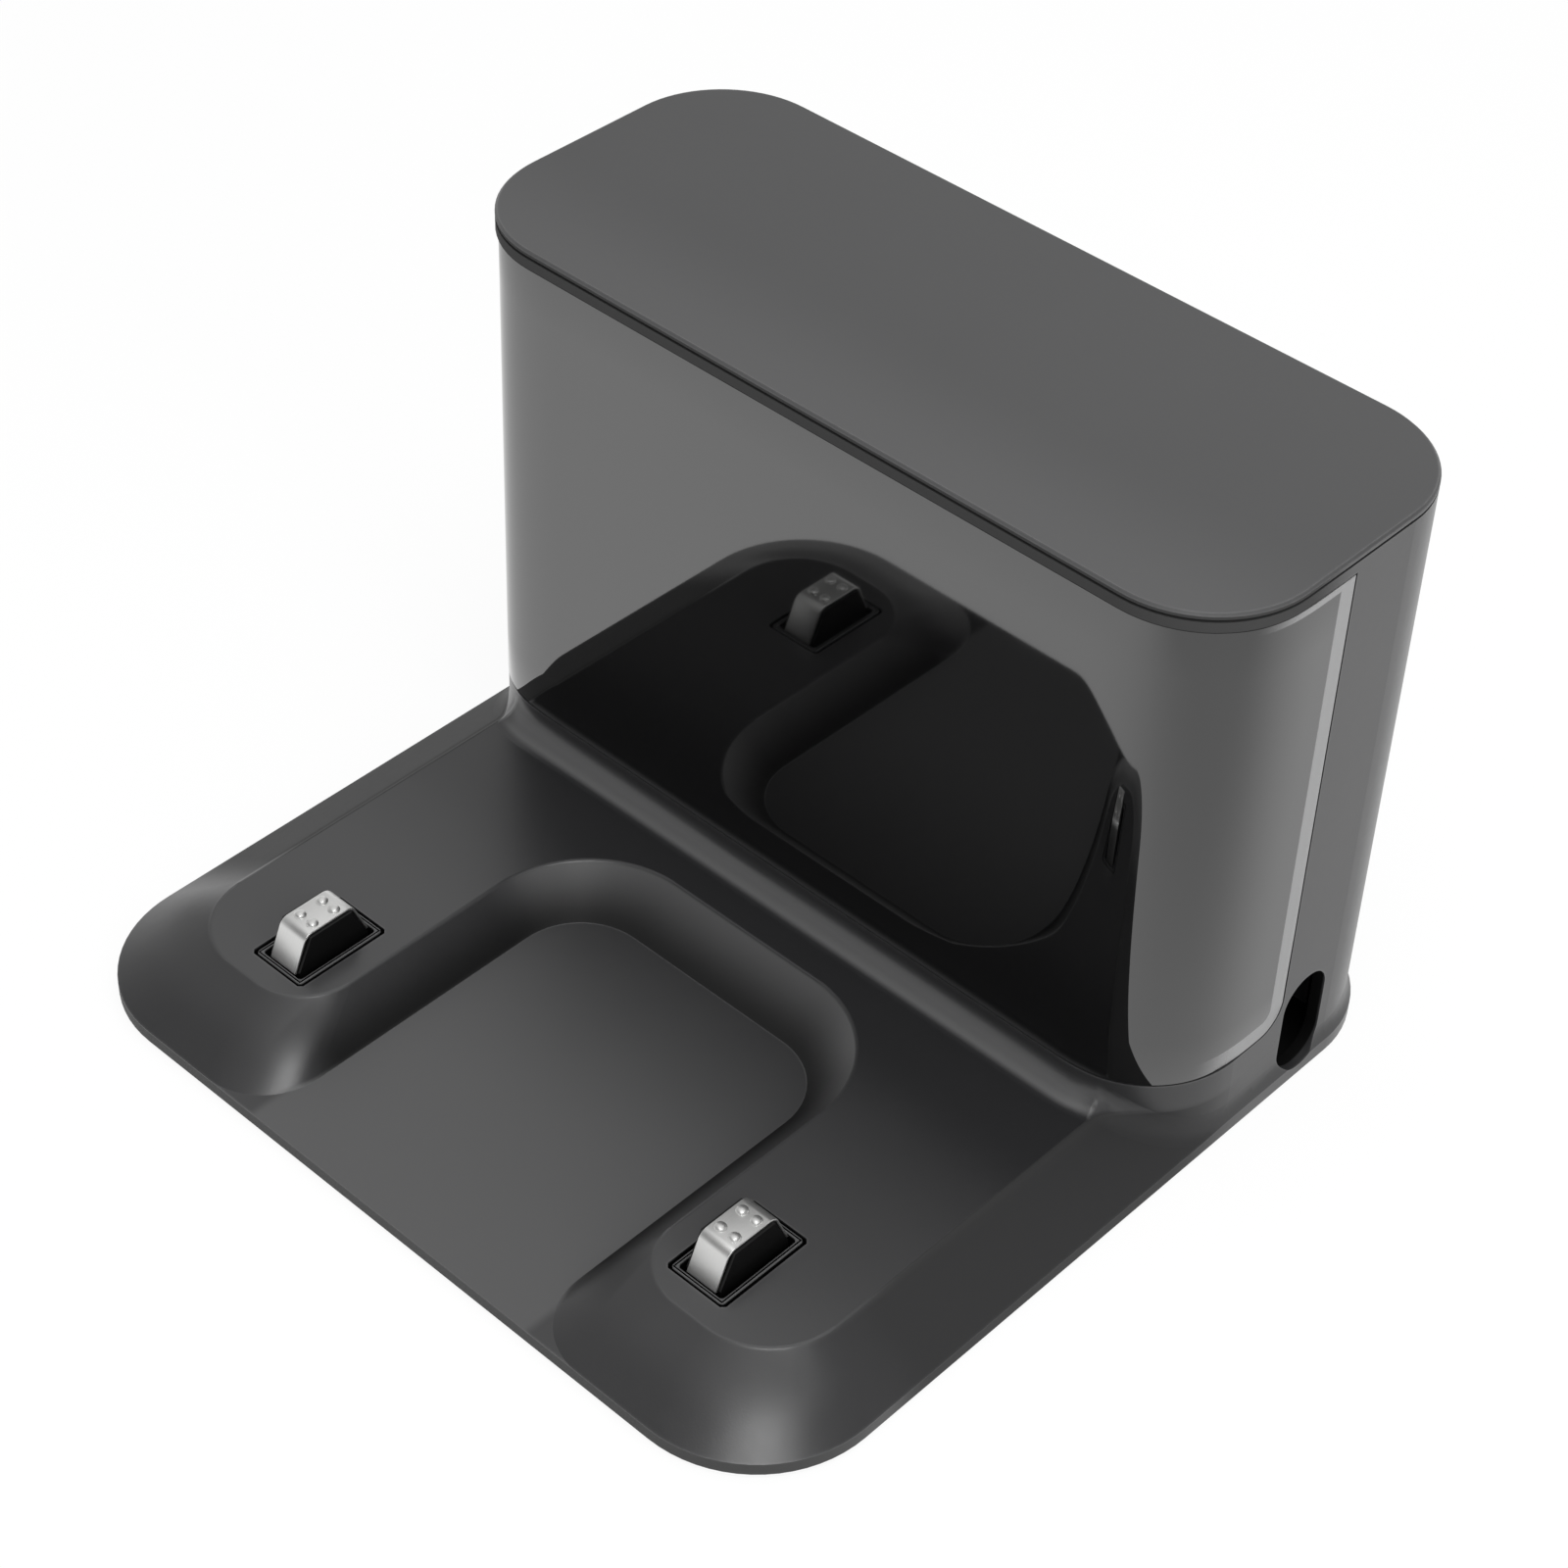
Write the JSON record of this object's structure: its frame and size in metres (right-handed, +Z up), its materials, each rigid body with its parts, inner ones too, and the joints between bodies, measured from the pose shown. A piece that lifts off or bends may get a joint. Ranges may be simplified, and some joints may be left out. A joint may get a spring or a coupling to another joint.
{
  "type": "robot vacuum charging dock",
  "caption": "Floor dock for a robot vacuum: a low black base with a wheel recess and sprung metal charging contacts in front of a rounded tower with a glossy infrared window.",
  "frame": {"origin": "on the floor under the middle of the dock's outline", "axes": "+X across the dock to its right as the robot sees it, +Y from the front to the wall, +Z up"},
  "size_m": [0.152, 0.147, 0.105],
  "materials": {
    "housing_plastic": "fine matte grain",
    "window_plastic": "polished, passes infrared",
    "cover_plastic": "fine matte grain",
    "plate_plastic": "matte",
    "foot_rubber": "soft matte",
    "frame_plastic": "satin",
    "carrier_plastic": "smooth",
    "contact_metal": "nickel plated",
    "spring_steel": "plain, also the small screws",
    "chassis_plastic": "matte",
    "inlet_plastic": "smooth",
    "pin_metal": "nickel plated",
    "board_laminate": "solder resist",
    "transformer_tape": "taped winding on a ferrite core",
    "capacitor_can": "sleeved can",
    "emitter_resin": "clear tinted resin",
    "shroud_plastic": "matte"
  },
  "bodies": {
    "dock": {"main_housing": "housing_plastic", "front_window": "window_plastic", "top_cover": "cover_plastic", "bottom_plate": "plate_plastic", "rubber_feet": "foot_rubber", "contact_frame_left": "frame_plastic", "contact_spring_left": "spring_steel", "contact_frame_right": "frame_plastic", "contact_spring_right": "spring_steel", "inner_chassis": "chassis_plastic", "power_inlet": "inlet_plastic", "inlet_pins": "pin_metal", "power_board": "board_laminate", "transformer": "transformer_tape", "bulk_capacitor": "capacitor_can", "beacon_board": "board_laminate", "beam_shroud": "shroud_plastic", "infrared_emitters": "emitter_resin"},
    "contact_left": {"contact_carrier_left": "carrier_plastic", "contact_strap_left": "contact_metal"},
    "contact_right": {"contact_carrier_right": "carrier_plastic", "contact_strap_right": "contact_metal"}
  },
  "joints": [
    {"name": "contact_left_press", "type": "slide", "parent": "dock", "child": "contact_left", "axis": [0, 0, 1], "range_m": [-0.0025, 0], "stiffness_N_per_m": 300, "deforming": ["contact_spring_left"]},
    {"name": "contact_right_press", "type": "slide", "parent": "dock", "child": "contact_right", "axis": [0, 0, 1], "range_m": [-0.0025, 0], "stiffness_N_per_m": 300, "deforming": ["contact_spring_right"]}
  ]
}
